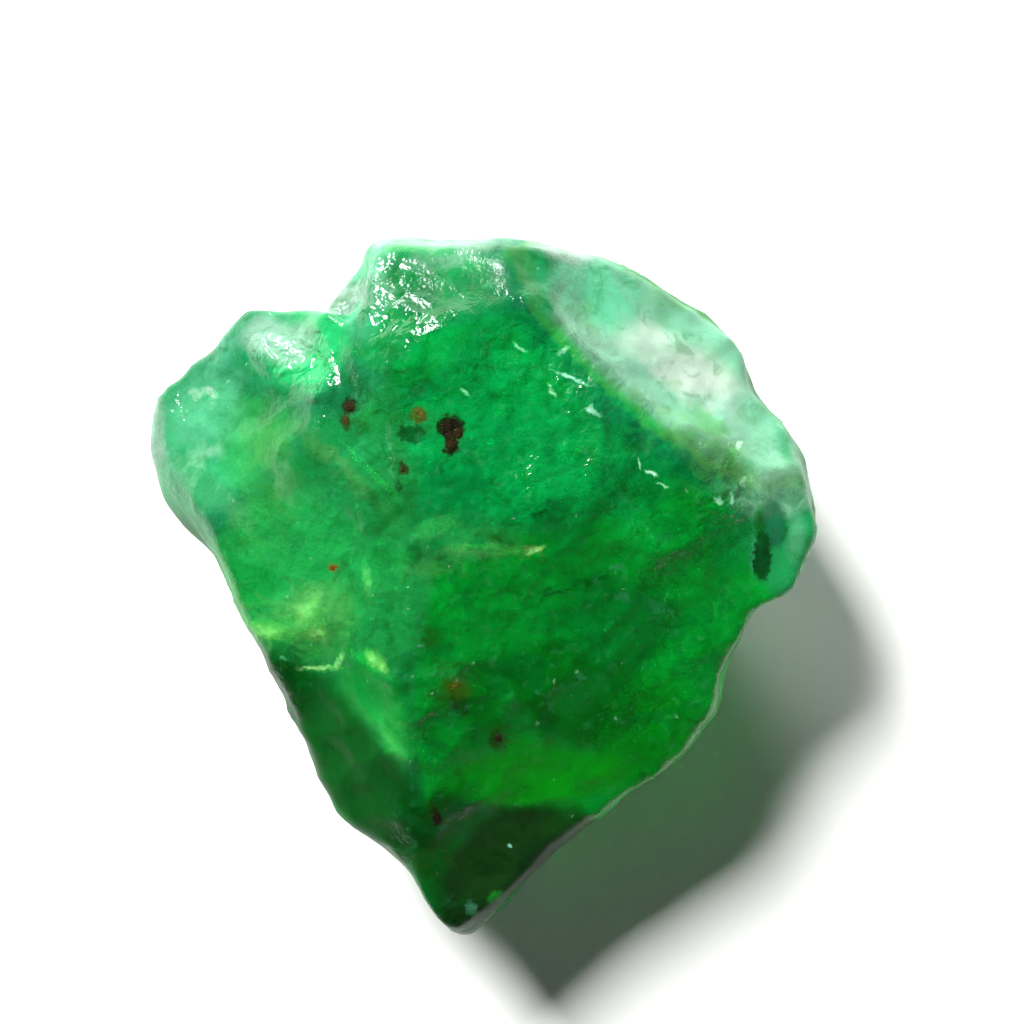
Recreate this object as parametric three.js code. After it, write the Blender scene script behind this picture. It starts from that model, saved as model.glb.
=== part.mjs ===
// Raw fluorite: one broken, clear green lump of crystal, lying on a natural cleavage face.
// Millimetres. +Z is up, out of the broad worn face, and +Y runs from the lump's tip to its wide end.
// The origin is in the plane of the cleavage face it rests on, under the middle of its bounding box.
import * as THREE from "three";
import { mergeVertices } from "three/addons/utils/BufferGeometryUtils.js";

// The lump's outline where it is widest, seen from above: [x, y], anticlockwise from the notch.
const outlinePoints = [
  [-8.9, 19.2], [-9.9, 18.0], [-12.0, 17.6], [-14.1, 17.6], [-15.6, 17.0], [-18.3, 14.7],
  [-20.5, 11.8], [-21.0, 9.9], [-20.8, 8.2], [-19.8, 5.9], [-17.1, 2.1], [-14.8, -2.9],
  [-12.2, -7.8], [-9.9, -13.0], [-8.6, -15.2], [-4.6, -18.6], [-2.6, -21.2], [-1.4, -22.1],
  [0.0, -21.6], [2.3, -19.6], [4.9, -17.0], [9.1, -14.1], [12.6, -11.5], [14.5, -9.1],
  [15.5, -7.2], [16.0, -5.2], [17.4, -2.5], [18.0, -0.9], [19.9, 0.6], [20.7, 2.4],
  [21.05, 5.4], [20.7, 8.2], [19.6, 10.3], [17.9, 12.3], [15.6, 16.2], [13.7, 17.9],
  [11.5, 19.6], [9.3, 20.6], [6.2, 21.3], [3.2, 21.9], [-1.6, 22.0], [-5.8, 21.7], [-7.5, 20.9],
];

// How high the widest outline is at angles round the lump: [degrees, height].
const edgeHeights = [
  [2, 4.2], [14, 4.4], [22, 4.8], [28, 4.8], [35, 3.6], [46, 2.8], [60, 3.4], [74, 6.2],
  [85, 7.0], [120, 6.4], [140, 4.6], [155, 2.0], [172, 4.2], [192, 4.8], [213, 4.3], [233, 3.8],
  [256, 3.2], [270, 2.6], [303, 3.3], [330, 3.7], [355, 4.1],
];

// Faces above the outline: a point on the face, and its rise per mm towards +X and towards +Y.
const upperFaces = [
  { at: [-4.8, 8.0, 12.0], rise: [-0.12, 0.08] },  // broad worn face, wide half
  { at: [-3.5, 0.7, 11.4], rise: [-0.208, 0.3] },  // the same face below its cross ridge
  { at: [-4.8, 8.0, 12.0], rise: [0.42, 0.18] },   // left slope
  { at: [-21.0, 9.9, 2.8], rise: [0.68, -0.12] },  // round lobe on the left
  { at: [-4.3, -10.5, 8.2], rise: [0.43, 0.37] },  // dark facet beside the tip
  { at: [0.0, 17.2, 12.1], rise: [0.04, -0.55] },  // wide end
  { at: [-7.0, 14.0, 12.1], rise: [0.38, -0.5] },  // shoulder
];

// Faces below the outline: the way each looks, how far out it leaves the base, and its rise per mm.
const lowerFaces = [
  { degrees: 48, start: 9.5, rise: 0.95 },
  { degrees: 100, start: 12.0, rise: 1.4 },
  { degrees: 152, start: 12.0, rise: 0.9 },
  { degrees: 200, start: 10.5, rise: 1.8 },
  { degrees: 236, start: 12.5, rise: 1.9 },
  { degrees: 272, start: 14.8, rise: 1.45 },
  { degrees: 328, start: 11.5, rise: 2.1 },
  { degrees: 5, start: 12.0, rise: 1.4 },
];

// Shell-shaped breaks, each the bite of an ellipsoid: its centre, half sizes and turn about Z.
const breaks = [
  { centre: [17.2, 19.6, 17.0], half: [24.0, 11.9, 13.0], degrees: -44 },  // the large one
  { centre: [24.0, 2.5, 16.0], half: [10.5, 10.5, 10.5], degrees: 0 },     // right edge
  { centre: [3.0, -21.0, 17.3], half: [13.6, 13.6, 13.6], degrees: 0 },    // hollow above the tip
  { centre: [-9.8, 22.6, 9.0], half: [2.8, 6.5, 6.0], degrees: 20 },       // notch
  { centre: [-12.6, 14.6, 12.0], half: [4.2, 3.2, 4.0], degrees: 35 },     // shoulder
  { centre: [-4.5, 20.6, 14.6], half: [3.4, 3.6, 4.2], degrees: -20 },     // wide end, left
  { centre: [3.6, 22.0, 13.6], half: [3.0, 4.4, 4.4], degrees: 10 },       // wide end, right
  { centre: [-18.6, 15.0, 9.2], half: [3.0, 4.4, 4.4], degrees: -40 },     // behind the lobe
  { centre: [-15.5, -8.0, -4.5], half: [8.0, 9.0, 7.0], degrees: 20 },     // under the left edge
  { centre: [14.5, -12.1, -4.5], half: [8.0, 8.0, 6.5], degrees: 0 },      // under the right edge
  { centre: [22.3, 6.0, -5.0], half: [8.5, 9.0, 7.0], degrees: 0 },        // under the right edge, wide half
  { centre: [13.5, 19.2, -7.0], half: [8.0, 8.0, 6.5], degrees: 0 },       // under the large one
  { centre: [-9.2, 19.7, -5.0], half: [9.0, 8.0, 7.0], degrees: 15 },      // under the notch
  { centre: [-0.8, -23.5, -6.0], half: [7.0, 7.0, 6.0], degrees: 0 },      // under the tip
];

// Worn relief: how far across each feature is, and how deep.
const softLumps = [{ size: 7, depth: 0.3, seed: 1 }, { size: 3, depth: 0.12, seed: 2 }];
const bites = [{ size: 7.5, depth: 0.85, seed: 3 }, { size: 3.2, depth: 0.36, seed: 6 }];
const biteWander = 1.5;        // bent out of line by this much,
const wanderSize = 6;          // over this distance
const wanderSeeds = [11, 12, 13];
const meanBite = 0.3;          // bites and ridges balance about this

const baseHeight = -10;        // the cleavage face, below the widest outline
const sideSlope = 0.21;        // the sides lean in from the outline by this much per mm,
const sideCurve = 0.012;       // more the further they go,
const sideTwist = 0.02;        // and carry its corners round by this much (radians per mm)
const sideSteepness = 0.9;     // true distance to a side, over its distance measured level
const faceRounding = 0.6;      // worn edges between faces
const breakRounding = 0.6;     // and round the breaks
const rayStart = [0, -1, -2];  // a point well inside the lump
const rayLength = 30;
const raySteps = 26;
const squaresPerEdge = 24;     // squares along each edge of the box that the mesh starts as
const stepsPerPoint = 12;      // pieces of curve between two outline points
const fullTurn = 2 * Math.PI;
const fullCircle = 360;        // degrees

// The larger of a and b, with a fillet of about the given width where they meet.
function roundedMax(a, b, width) {
  const share = THREE.MathUtils.clamp(0.5 + (0.5 * (a - b)) / width, 0, 1);
  return b + (a - b) * share + width * share * (1 - share);
}

// The outline as a smooth closed curve, sorted by angle: [angle, distance from the Z axis].
const outlineTable = new THREE.CatmullRomCurve3(
  outlinePoints.map(([x, y]) => new THREE.Vector3(x, y, 0)), true, "catmullrom", 0.5,
).getPoints(outlinePoints.length * stepsPerPoint).slice(1)
  .map((point) => [Math.atan2(point.y, point.x), Math.hypot(point.x, point.y)])
  .sort((a, b) => a[0] - b[0]);

// Distance from the Z axis to the outline at an angle, between the two nearest entries.
function outlineRadius(angle) {
  const { euclideanModulo, lerp } = THREE.MathUtils;
  const wrapped = euclideanModulo(angle + Math.PI, fullTurn) - Math.PI;
  const next = outlineTable.findIndex((entry) => entry[0] >= wrapped);
  const high = next < 0 ? outlineTable[0] : outlineTable[next];
  const low = next > 0 ? outlineTable[next - 1] : outlineTable[outlineTable.length - 1];
  const gap = euclideanModulo(high[0] - low[0], fullTurn);
  return lerp(low[1], high[1], euclideanModulo(wrapped - low[0], fullTurn) / gap);
}

// A repeatable random number from 0 to 1 for each cell of a cubic lattice.
function cellNumber(i, j, k, seed) {
  const value = Math.sin(i * 12.9898 + j * 78.233 + k * 37.719 + seed * 4.137) * 43758.5453;
  return value - Math.floor(value);
}

// Soft lumps of about the given size, -1 to 1: cell numbers blended across each cell.
function lumpsAt(point, size, seed) {
  const scaled = point.map((value) => value / size);
  const cell = scaled.map(Math.floor);
  const blend = scaled.map((value, axis) => {
    const t = value - cell[axis];
    return t * t * t * (t * (t * 6 - 15) + 10);
  });
  let total = 0;
  for (let corner = 0; corner < 8; corner += 1) {
    const step = [corner & 1, (corner >> 1) & 1, (corner >> 2) & 1];
    const weight = step.reduce((product, on, axis) => product * (on ? blend[axis] : 1 - blend[axis]), 1);
    total += weight * cellNumber(cell[0] + step[0], cell[1] + step[1], cell[2] + step[2], seed);
  }
  return 2 * total - 1;
}

// Bites that meet in ridges: the squared distance to the nearest of one random point in each cell.
function bitesAt(point, size, seed) {
  const scaled = point.map((value) => value / size);
  const cell = scaled.map(Math.floor);
  let nearest = Infinity;
  for (let i = cell[0] - 1; i <= cell[0] + 1; i += 1) {
    for (let j = cell[1] - 1; j <= cell[1] + 1; j += 1) {
      for (let k = cell[2] - 1; k <= cell[2] + 1; k += 1) {
        const dx = i + cellNumber(i, j, k, seed) - scaled[0];
        const dy = j + cellNumber(i, j, k, seed + 1) - scaled[1];
        const dz = k + cellNumber(i, j, k, seed + 2) - scaled[2];
        nearest = Math.min(nearest, dx * dx + dy * dy + dz * dz);
      }
    }
  }
  return nearest;
}

// Height of the widest outline at an angle, on the straight line between the two nearest entries.
function edgeHeight(angle) {
  const { euclideanModulo, lerp, radToDeg } = THREE.MathUtils;
  const degrees = euclideanModulo(radToDeg(angle), fullCircle);
  const next = edgeHeights.findIndex((entry) => entry[0] > degrees);
  const high = next < 0 ? edgeHeights[0] : edgeHeights[next];
  const low = next > 0 ? edgeHeights[next - 1] : edgeHeights[edgeHeights.length - 1];
  const gap = euclideanModulo(high[0] - low[0], fullCircle);
  return lerp(low[1], high[1], euclideanModulo(degrees - low[0], fullCircle) / gap);
}

// How far a point is outside the faces, roughly in mm: negative inside.
function outsideFaces([x, y, z]) {
  const angle = Math.atan2(y, x);
  const height = z - edgeHeight(angle);
  const reach = Math.hypot(x, y) - outlineRadius(angle + sideTwist * height);
  const leanIn = sideSlope * Math.abs(height) + sideCurve * height * height;
  let outside = sideSteepness * (reach + leanIn);
  for (const { at, rise: [riseX, riseY] } of upperFaces) {
    const above = z - at[2] - riseX * (x - at[0]) - riseY * (y - at[1]);
    outside = roundedMax(outside, above / Math.hypot(1, riseX, riseY), faceRounding);
  }
  for (const { degrees, start, rise } of lowerFaces) {
    const turn = THREE.MathUtils.degToRad(degrees);
    const out = x * Math.cos(turn) + y * Math.sin(turn) - start;
    const below = baseHeight - z + rise * out;
    outside = roundedMax(outside, below / Math.hypot(1, rise), faceRounding);
  }
  return outside;
}

// How far a point is inside one break: positive in the part that is missing.
function insideBreak([x, y, z], { centre, half, degrees }) {
  const turn = THREE.MathUtils.degToRad(degrees);
  const dx = x - centre[0];
  const dy = y - centre[1];
  const along = (dx * Math.cos(turn) + dy * Math.sin(turn)) / half[0];
  const across = (dy * Math.cos(turn) - dx * Math.sin(turn)) / half[1];
  const up = (z - centre[2]) / half[2];
  return (1 - Math.hypot(along, across, up)) * Math.min(...half);
}

// The whole lump: faces, less the breaks, with its worn relief, cut flat by the cleavage face.
function outsideLump(point) {
  let outside = outsideFaces(point);
  for (const part of breaks) {
    outside = roundedMax(outside, insideBreak(point, part), breakRounding);
  }
  for (const { size, depth, seed } of softLumps) {
    outside += depth * lumpsAt(point, size, seed);
  }
  const wandered = point.map((value, axis) => (
    value + biteWander * lumpsAt(point, wanderSize, wanderSeeds[axis])
  ));
  for (const { size, depth, seed } of bites) {
    outside -= depth * (bitesAt(wandered, size, seed) - meanBite);
  }
  return Math.max(outside, baseHeight - point[2]);
}

// Where a ray from inside the lump meets its surface, by halving the stretch that holds it.
function surfaceAlong(direction) {
  const pointAt = (distance) => rayStart.map((value, axis) => value + direction[axis] * distance);
  let inside = 0;
  let outside = rayLength;
  for (let step = 0; step < raySteps; step += 1) {
    const middle = (inside + outside) / 2;
    if (outsideLump(pointAt(middle)) < 0) {
      inside = middle;
    } else {
      outside = middle;
    }
  }
  return pointAt(inside);
}

// Splits each square along whichever diagonal lies nearer to the lump's surface.
function splitSquares(geometry) {
  const positions = geometry.getAttribute("position");
  const index = geometry.getIndex();
  const distanceOff = (from, to) => {
    const start = new THREE.Vector3().fromBufferAttribute(positions, from);
    const end = new THREE.Vector3().fromBufferAttribute(positions, to);
    return Math.abs(outsideLump(start.lerp(end, 0.5).toArray()));
  };
  // A square a b c d is stored as the triangles a b d and b c d.
  for (let first = 0; first < index.count; first += 6) {
    const [a, b, d] = [0, 1, 2].map((step) => index.getX(first + step));
    const c = index.getX(first + 4);
    if (distanceOff(a, c) < distanceOff(b, d)) {
      [a, b, c, a, c, d].forEach((corner, step) => index.setX(first + step, corner));
    }
  }
}

// A box of even squares, as seen from its middle, with each corner moved onto the lump's surface.
function makeLump() {
  const box = new THREE.BoxGeometry(2, 2, 2, squaresPerEdge, squaresPerEdge, squaresPerEdge);
  box.deleteAttribute("normal");
  box.deleteAttribute("uv");
  const geometry = mergeVertices(box);
  const positions = geometry.getAttribute("position");
  const corner = new THREE.Vector3();
  for (let index = 0; index < positions.count; index += 1) {
    corner.fromBufferAttribute(positions, index);
    corner.set(...corner.toArray().map((value) => Math.tan((value * Math.PI) / 4))).normalize();
    positions.setXYZ(index, ...surfaceAlong(corner.toArray()));
  }
  splitSquares(geometry);
  return geometry;
}

// Moves a geometry so that the middle of its bounding box's underside is the origin.
function restOnOrigin(geometry) {
  geometry.computeBoundingBox();
  const { min, max } = geometry.boundingBox;
  geometry.translate(-(min.x + max.x) / 2, -(min.y + max.y) / 2, -min.z);
  geometry.computeVertexNormals();
  return geometry;
}

const clearGreenFluorite = new THREE.MeshStandardMaterial({
  color: 0x1f9a52,
  roughness: 0.3,
  metalness: 0,
});

const fluorite = new THREE.Mesh(restOnOrigin(makeLump()), clearGreenFluorite);
fluorite.name = "fluorite";

const stone = new THREE.Group();
stone.add(fluorite);

export default stone;
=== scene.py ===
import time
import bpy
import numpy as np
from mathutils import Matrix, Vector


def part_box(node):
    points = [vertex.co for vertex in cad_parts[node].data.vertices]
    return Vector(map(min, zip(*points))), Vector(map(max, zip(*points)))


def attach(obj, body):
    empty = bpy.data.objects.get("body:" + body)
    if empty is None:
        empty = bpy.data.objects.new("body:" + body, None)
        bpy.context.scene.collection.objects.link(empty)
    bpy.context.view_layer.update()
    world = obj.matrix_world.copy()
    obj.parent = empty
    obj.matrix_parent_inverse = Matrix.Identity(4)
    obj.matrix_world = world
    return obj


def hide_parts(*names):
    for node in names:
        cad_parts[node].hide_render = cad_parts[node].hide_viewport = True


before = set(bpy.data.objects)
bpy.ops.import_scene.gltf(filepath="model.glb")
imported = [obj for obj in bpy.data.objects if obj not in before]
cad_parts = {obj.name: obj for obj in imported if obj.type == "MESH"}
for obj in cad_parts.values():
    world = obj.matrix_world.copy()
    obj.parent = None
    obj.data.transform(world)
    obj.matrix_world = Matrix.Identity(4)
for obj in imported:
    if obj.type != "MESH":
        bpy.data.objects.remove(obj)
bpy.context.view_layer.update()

# Raw fluorite: a worn, broken lump of clear green crystal, with veils, clouds and iron-stained specks in it.
# Shapes are worked out in millimetres in the lump's drawing frame, whose origin is inside the lump at the
# height of its widest outline, and are moved into the CAD frame, in metres, when they become meshes.

mm = 0.001
startTime = time.time()


def report(stage):
    print(f"[{time.time() - startTime:5.1f} s] {stage}")


def linear(hexColour):  # an sRGB hex colour as linear light, and opaque
    channels = np.array([int(hexColour[i:i + 2], 16) for i in (1, 3, 5)]) / 255
    light = np.where(channels <= 0.04045, channels / 12.92, ((channels + 0.055) / 1.055) ** 2.4)
    return (*light.tolist(), 1.0)


def addNode(tree, kind, inputs=(), stops=(), output=0, **settings):
    # adds a node with its settings and gives one of its outputs; inputs are values, or the sockets that feed
    # them, in order or by name or number; stops fill a Color Ramp
    node = tree.nodes.new("ShaderNode" + kind)
    for name, value in settings.items():
        setattr(node, name, value)
    for name, value in (inputs if isinstance(inputs, dict) else dict(enumerate(inputs))).items():
        if isinstance(value, bpy.types.NodeSocket):
            tree.links.new(value, node.inputs[name])
        else:
            node.inputs[name].default_value = value
    for index, (place, colour) in enumerate(stops):
        element = node.color_ramp.elements[index] if index < 2 else node.color_ramp.elements.new(place)
        element.position = place
        element.color = colour
    return node.outputs[output] if node.outputs else node


def newMaterial(name):
    material = bpy.data.materials.new(name)
    material.use_nodes = True
    material.node_tree.nodes.clear()
    return material, material.node_tree


mixing = (12.9898, 78.233, 37.719, 4.137)   # any unrelated numbers
spreading = 43758.5453                      # any large one


def cellNumber(i, j, k, seed):
    # a repeatable random number, 0 to 1: the fraction of a large number times the sine of a mix of the four
    mixed = i * mixing[0] + j * mixing[1] + k * mixing[2] + seed * mixing[3]
    value = np.sin(mixed) * spreading
    return value - np.floor(value)


def lumpsAt(points, size, seed):
    # soft lumps, -1 to 1: random numbers at the corners of a lattice of cubes, blended by
    # 6t^5 - 15t^4 + 10t^3 along each side
    scaled = points / size
    cell = np.floor(scaled)
    t = scaled - cell
    blend = t * t * t * (t * (t * 6 - 15) + 10)
    total = 0
    for corner in np.ndindex(2, 2, 2):
        weight = np.prod(np.where(corner, blend, 1 - blend), axis=1)
        total = total + weight * cellNumber(*(cell + corner).T, seed)
    return 2 * total - 1


def bitesAt(points, size, seed):
    # bites that meet in ridges: squared distance, in cells, to the nearest of one random point in each cell
    scaled = points / size
    cell = np.floor(scaled)
    nearest = np.full(len(points), np.inf)
    for step in np.ndindex(3, 3, 3):
        i, j, k = (cell + step - 1).T
        spot = np.stack([cellNumber(i, j, k, seed + axis) for axis in range(3)], 1)
        away = np.stack([i, j, k], 1) + spot - scaled
        nearest = np.minimum(nearest, (away * away).sum(1))
    return nearest


def roundedMax(a, b, width):  # the larger of a and b, with a fillet of about that width where they meet
    share = np.clip(0.5 + 0.5 * (a - b) / width, 0, 1)
    return b + (a - b) * share + width * share * (1 - share)


lump = {
    "outline": [  # widest outline from above, anticlockwise from the notch
        (-8.9, 19.2), (-9.9, 18.0), (-12.0, 17.6), (-14.1, 17.6), (-15.6, 17.0), (-18.3, 14.7),
        (-20.5, 11.8), (-21.0, 9.9), (-20.8, 8.2), (-19.8, 5.9), (-17.1, 2.1), (-14.8, -2.9),
        (-12.2, -7.8), (-9.9, -13.0), (-8.6, -15.2), (-4.6, -18.6), (-2.6, -21.2), (-1.4, -22.1),
        (0.0, -21.6), (2.3, -19.6), (4.9, -17.0), (9.1, -14.1), (12.6, -11.5), (14.5, -9.1),
        (15.5, -7.2), (16.0, -5.2), (17.4, -2.5), (18.0, -0.9), (19.9, 0.6), (20.7, 2.4),
        (21.05, 5.4), (20.7, 8.2), (19.6, 10.3), (17.9, 12.3), (15.6, 16.2), (13.7, 17.9),
        (11.5, 19.6), (9.3, 20.6), (6.2, 21.3), (3.2, 21.9), (-1.6, 22.0), (-5.8, 21.7), (-7.5, 20.9)],
    "outlineSteps": 12,     # points of the smooth outline for each of these
    "edgeHeights": [  # angle in degrees, height of the widest outline there
        (2, 4.2), (14, 4.4), (22, 4.8), (28, 4.8), (35, 3.6), (46, 2.8), (60, 3.4), (74, 6.2), (85, 7.0),
        (120, 6.4), (140, 4.6), (155, 2.0), (172, 4.2), (192, 4.8), (213, 4.3), (233, 3.8), (256, 3.2),
        (270, 2.6), (303, 3.3), (330, 3.7), (355, 4.1)],
    "upperFaces": [  # point on the face, rise per mm towards +X and +Y
        ((-4.8, 8.0, 12.0), (-0.12, 0.08)),    # broad worn face, wide half
        ((-3.5, 0.7, 11.4), (-0.208, 0.3)),    # the same face below its cross ridge
        ((-4.8, 8.0, 12.0), (0.42, 0.18)),     # left slope
        ((-21.0, 9.9, 2.8), (0.68, -0.12)),    # round lobe on the left
        ((-4.3, -10.5, 8.2), (0.43, 0.37)),    # dark facet beside the tip
        ((0.0, 17.2, 12.1), (0.04, -0.55)),    # wide end
        ((-7.0, 14.0, 12.1), (0.38, -0.5))],   # shoulder
    "lowerFaces": [  # the way it looks in degrees, where it leaves the base, rise per mm
        (48, 9.5, 0.95), (100, 12.0, 1.4), (152, 12.0, 0.9), (200, 10.5, 1.8),
        (236, 12.5, 1.9), (272, 14.8, 1.45), (328, 11.5, 2.1), (5, 12.0, 1.4)],
    "breaks": [  # bite of an ellipsoid: centre, half sizes, turn about Z in degrees
        ((17.2, 19.6, 17.0), (24.0, 11.9, 13.0), -44),    # the large one
        ((24.0, 2.5, 16.0), (10.5, 10.5, 10.5), 0),       # right edge
        ((3.0, -21.0, 17.3), (13.6, 13.6, 13.6), 0),      # hollow above the tip
        ((-9.8, 22.6, 9.0), (2.8, 6.5, 6.0), 20),         # notch
        ((-12.6, 14.6, 12.0), (4.2, 3.2, 4.0), 35),       # shoulder
        ((-4.5, 20.6, 14.6), (3.4, 3.6, 4.2), -20),       # wide end, left
        ((3.6, 22.0, 13.6), (3.0, 4.4, 4.4), 10),         # wide end, right
        ((-18.6, 15.0, 9.2), (3.0, 4.4, 4.4), -40),       # behind the lobe
        ((-15.5, -8.0, -4.5), (8.0, 9.0, 7.0), 20),       # under the left edge
        ((14.5, -12.1, -4.5), (8.0, 8.0, 6.5), 0),        # under the right edge
        ((22.3, 6.0, -5.0), (8.5, 9.0, 7.0), 0),          # under the right edge, wide half
        ((13.5, 19.2, -7.0), (8.0, 8.0, 6.5), 0),         # under the large one
        ((-9.2, 19.7, -5.0), (9.0, 8.0, 7.0), 15),        # under the notch
        ((-0.8, -23.5, -6.0), (7.0, 7.0, 6.0), 0)],       # under the tip
    "softLumps": [(7, 0.3, 1), (3, 0.12, 2)],          # size, depth, seed
    "bites": [(7.5, 0.85, 3), (3.2, 0.36, 6)],         # size, depth, seed
    "fineBites": [(1.6, 0.10, 21)],  # too fine for the CAD model
    "meanBite": 0.3,
    "wander": (1.5, 6, (11, 12, 13)),   # how far bites are bent out of line, over what distance, seeds
    "baseHeight": -10.0,
    "sideLean": (0.21, 0.012),          # lean per mm, and its growth
    "sideTwist": 0.02,                  # radians per mm
    "sideSteepness": 0.9,
    "faceRounding": 0.5,
    "breakRounding": 0.4,
    "rayStart": (0.0, -1.0, -2.0),
    "rayLength": 30.0,
    "raySteps": 24,
    "squaresPerEdge": 128,
    "quickSquares": 96,
    "sampleSquares": 24,                # of the coarse sample that finds the drawing frame's place
    "skinHeights": (-2.0, 20.0),        # the upper skin is looked for between these
    "skinSteps": 22,
}


def outlineTable(points, stepsPerPoint):
    # closed Catmull-Rom curve through the points, as angle and distance from the Z axis, in order of angle
    p1 = np.array(points)
    p0, p2, p3 = np.roll(p1, 1, 0), np.roll(p1, -1, 0), np.roll(p1, -2, 0)
    t = (np.arange(stepsPerPoint) / stepsPerPoint)[:, None, None]
    curve = 0.5 * (2 * p1 + (p2 - p0) * t + (2 * p0 - 5 * p1 + 4 * p2 - p3) * t**2
                   + (3 * p1 - p0 - 3 * p2 + p3) * t**3)
    x, y = curve.reshape(-1, 2).T
    order = np.argsort(np.arctan2(y, x))
    return np.arctan2(y, x)[order], np.hypot(x, y)[order]


lumpAngles, lumpRadii = outlineTable(lump["outline"], lump["outlineSteps"])


def outsideFaces(points):
    # negative inside: the sides lean in from the outline, then each face is a plane through its point
    x, y, z = points.T
    angle = np.arctan2(y, x)
    degrees, heights = np.array(lump["edgeHeights"]).T
    height = z - np.interp(angle, np.radians(degrees), heights, period=2 * np.pi)
    reach = np.interp(angle + lump["sideTwist"] * height, lumpAngles, lumpRadii, period=2 * np.pi)
    lean, growth = lump["sideLean"]
    outside = (np.hypot(x, y) - reach + lean * np.abs(height) + growth * height**2) * lump["sideSteepness"]
    for (x0, y0, z0), (riseX, riseY) in lump["upperFaces"]:
        above = (z - z0 - riseX * (x - x0) - riseY * (y - y0)) / np.sqrt(1 + riseX**2 + riseY**2)
        outside = roundedMax(outside, above, lump["faceRounding"])
    for degrees, start, rise in lump["lowerFaces"]:
        out = x * np.cos(np.radians(degrees)) + y * np.sin(np.radians(degrees)) - start
        below = (lump["baseHeight"] - z + rise * out) / np.hypot(1, rise)
        outside = roundedMax(outside, below, lump["faceRounding"])
    return outside


def insideBreak(points, centre, half, degrees):  # positive in the part that is missing
    turn = np.radians(degrees)
    x, y, z = (points - np.array(centre)).T
    along, across = x * np.cos(turn) + y * np.sin(turn), y * np.cos(turn) - x * np.sin(turn)
    return (1 - np.sqrt((along / half[0])**2 + (across / half[1])**2 + (z / half[2])**2)) * min(half)


def outsideLump(points, fine=True):
    # the faces, less the breaks, plus soft lumps, less bites, cut flat at the base
    outside = outsideFaces(points)
    for centre, half, degrees in lump["breaks"]:
        outside = roundedMax(outside, insideBreak(points, centre, half, degrees), lump["breakRounding"])
    for size, depth, seed in lump["softLumps"]:
        outside = outside + depth * lumpsAt(points, size, seed)
    distance, size, seeds = lump["wander"]
    wandered = points + distance * np.stack([lumpsAt(points, size, seed) for seed in seeds], 1)
    for size, depth, seed in lump["bites"] + (lump["fineBites"] if fine else []):
        outside = outside - depth * (bitesAt(wandered, size, seed) - lump["meanBite"])
    return np.maximum(outside, lump["baseHeight"] - points[:, 2])


def cubeSphere(squares):
    # directions to even squares on the six faces of a box, seen from its middle; edges shared
    edge = np.tan(np.linspace(-np.pi / 4, np.pi / 4, squares + 1))
    u, v = np.meshgrid(edge, edge, indexing="ij")
    one = np.ones_like(u)
    faces = [(one, u, v), (-one, v, u), (v, one, u), (u, -one, v), (u, v, one), (v, u, -one)]
    corners = np.concatenate([np.stack(face, -1).reshape(-1, 3) for face in faces])
    row, column = np.meshgrid(np.arange(squares), np.arange(squares), indexing="ij")
    first = (row * (squares + 1) + column).reshape(-1, 1)
    quad = first + np.array([0, squares + 1, squares + 2, 1])
    quads = np.concatenate([quad + side * (squares + 1)**2 for side in range(6)])
    rounded = np.round(corners * 1e6).astype(np.int64)   # corners that agree to a millionth are one
    _, kept, shared = np.unique(rounded, axis=0, return_index=True, return_inverse=True)
    directions = corners[kept] / np.linalg.norm(corners[kept], axis=1)[:, None]
    return directions, shared.reshape(-1)[quads]


def surfaceAlong(directions, fine=True):
    # where rays from inside meet the surface, by halving the stretch that holds it
    start = np.array(lump["rayStart"])
    inside = np.zeros(len(directions))
    outside = np.full(len(directions), lump["rayLength"])
    for _ in range(lump["raySteps"]):
        middle = (inside + outside) / 2
        within = outsideLump(start + directions * middle[:, None], fine) < 0
        inside, outside = np.where(within, middle, inside), np.where(within, outside, middle)
    return start + directions * inside[:, None]


# the drawing frame's origin in the CAD frame, from the CAD model's box and the box of a coarse sample
coarse = surfaceAlong(cubeSphere(lump["sampleSquares"])[0], fine=False)
low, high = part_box("fluorite")
boxMiddle = (coarse.min(0) + coarse.max(0)) / 2
drawingOrigin = np.array([(low.x + high.x) / 2 / mm - boxMiddle[0],
                          (low.y + high.y) / 2 / mm - boxMiddle[1],
                          low.z / mm - lump["baseHeight"]])


def makePiece(name, points, faces, material):
    mesh = bpy.data.meshes.new(name)
    mesh.from_pydata((points + drawingOrigin) * mm, [], faces.tolist())
    mesh.polygons.foreach_set("use_smooth", np.full(len(faces), True))
    mesh.materials.append(material)
    mesh.update()
    piece = bpy.data.objects.new(name, mesh)
    bpy.context.scene.collection.objects.link(piece)
    return piece


def giveValues(piece, name, values):  # a number or a colour for each point, for its material to read
    if values.ndim == 1:
        piece.data.attributes.new(name, "FLOAT", "POINT").data.foreach_set("value", values)
    else:
        colours = piece.data.color_attributes.new(name, "FLOAT_COLOR", "POINT")
        colours.data.foreach_set("color", values.ravel())


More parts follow.
